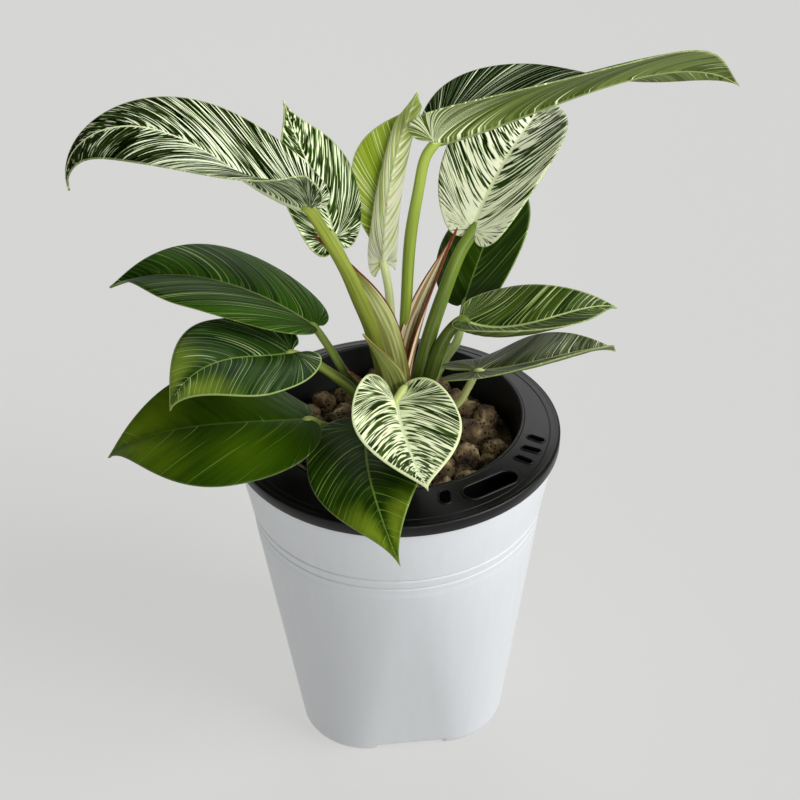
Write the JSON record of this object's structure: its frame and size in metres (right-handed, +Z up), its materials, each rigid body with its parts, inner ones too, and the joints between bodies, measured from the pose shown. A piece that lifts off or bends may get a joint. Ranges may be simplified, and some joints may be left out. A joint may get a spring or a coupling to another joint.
{
  "type": "potted philodendron birkin",
  "caption": "Philodendron birkin with thirteen variegated leaves in clay granules, standing in a white self-watering pot with a black flanged liner",
  "frame": {"origin": "middle of the pot's flat underside", "axes": "+Z up along the pot's axis, +Y from the front of the pot to its back, +X to the right as seen from the front"},
  "size_m": [0.3159, 0.247, 0.3775],
  "materials": {
    "pot_plastic": "satin",
    "liner_plastic": "satin",
    "clay_granules": "matt, porous",
    "stem": "satin",
    "petiole": "satin",
    "sheath": "dry, matt",
    "leaf_white_striped": "waxy gloss",
    "leaf_green": "waxy gloss"
  },
  "bodies": {
    "root": {"pot": "pot_plastic", "liner": "liner_plastic", "granules": "clay_granules", "crown": "stem", "petiole_a": "petiole", "petiole_b": "petiole", "petiole_c": "petiole", "petiole_d": "petiole", "petiole_e": "petiole", "petiole_f": "petiole", "petiole_g": "petiole", "petiole_h": "petiole", "petiole_i": "petiole", "petiole_j": "petiole", "petiole_k": "petiole", "petiole_l": "petiole", "petiole_m": "petiole", "blade_a": "leaf_white_striped", "blade_b": "leaf_white_striped", "blade_c": "leaf_white_striped", "blade_d": "leaf_white_striped", "blade_e": "leaf_white_striped", "blade_f": "leaf_green", "blade_g": "leaf_white_striped", "blade_h": "leaf_green", "blade_i": "leaf_white_striped", "blade_j": "leaf_green", "blade_k": "leaf_green", "blade_l": "leaf_green", "blade_m": "leaf_white_striped", "sheath_left": "sheath", "sheath_right": "sheath", "sheath_front": "sheath", "sheath_dry": "sheath"}
  },
  "joints": []
}
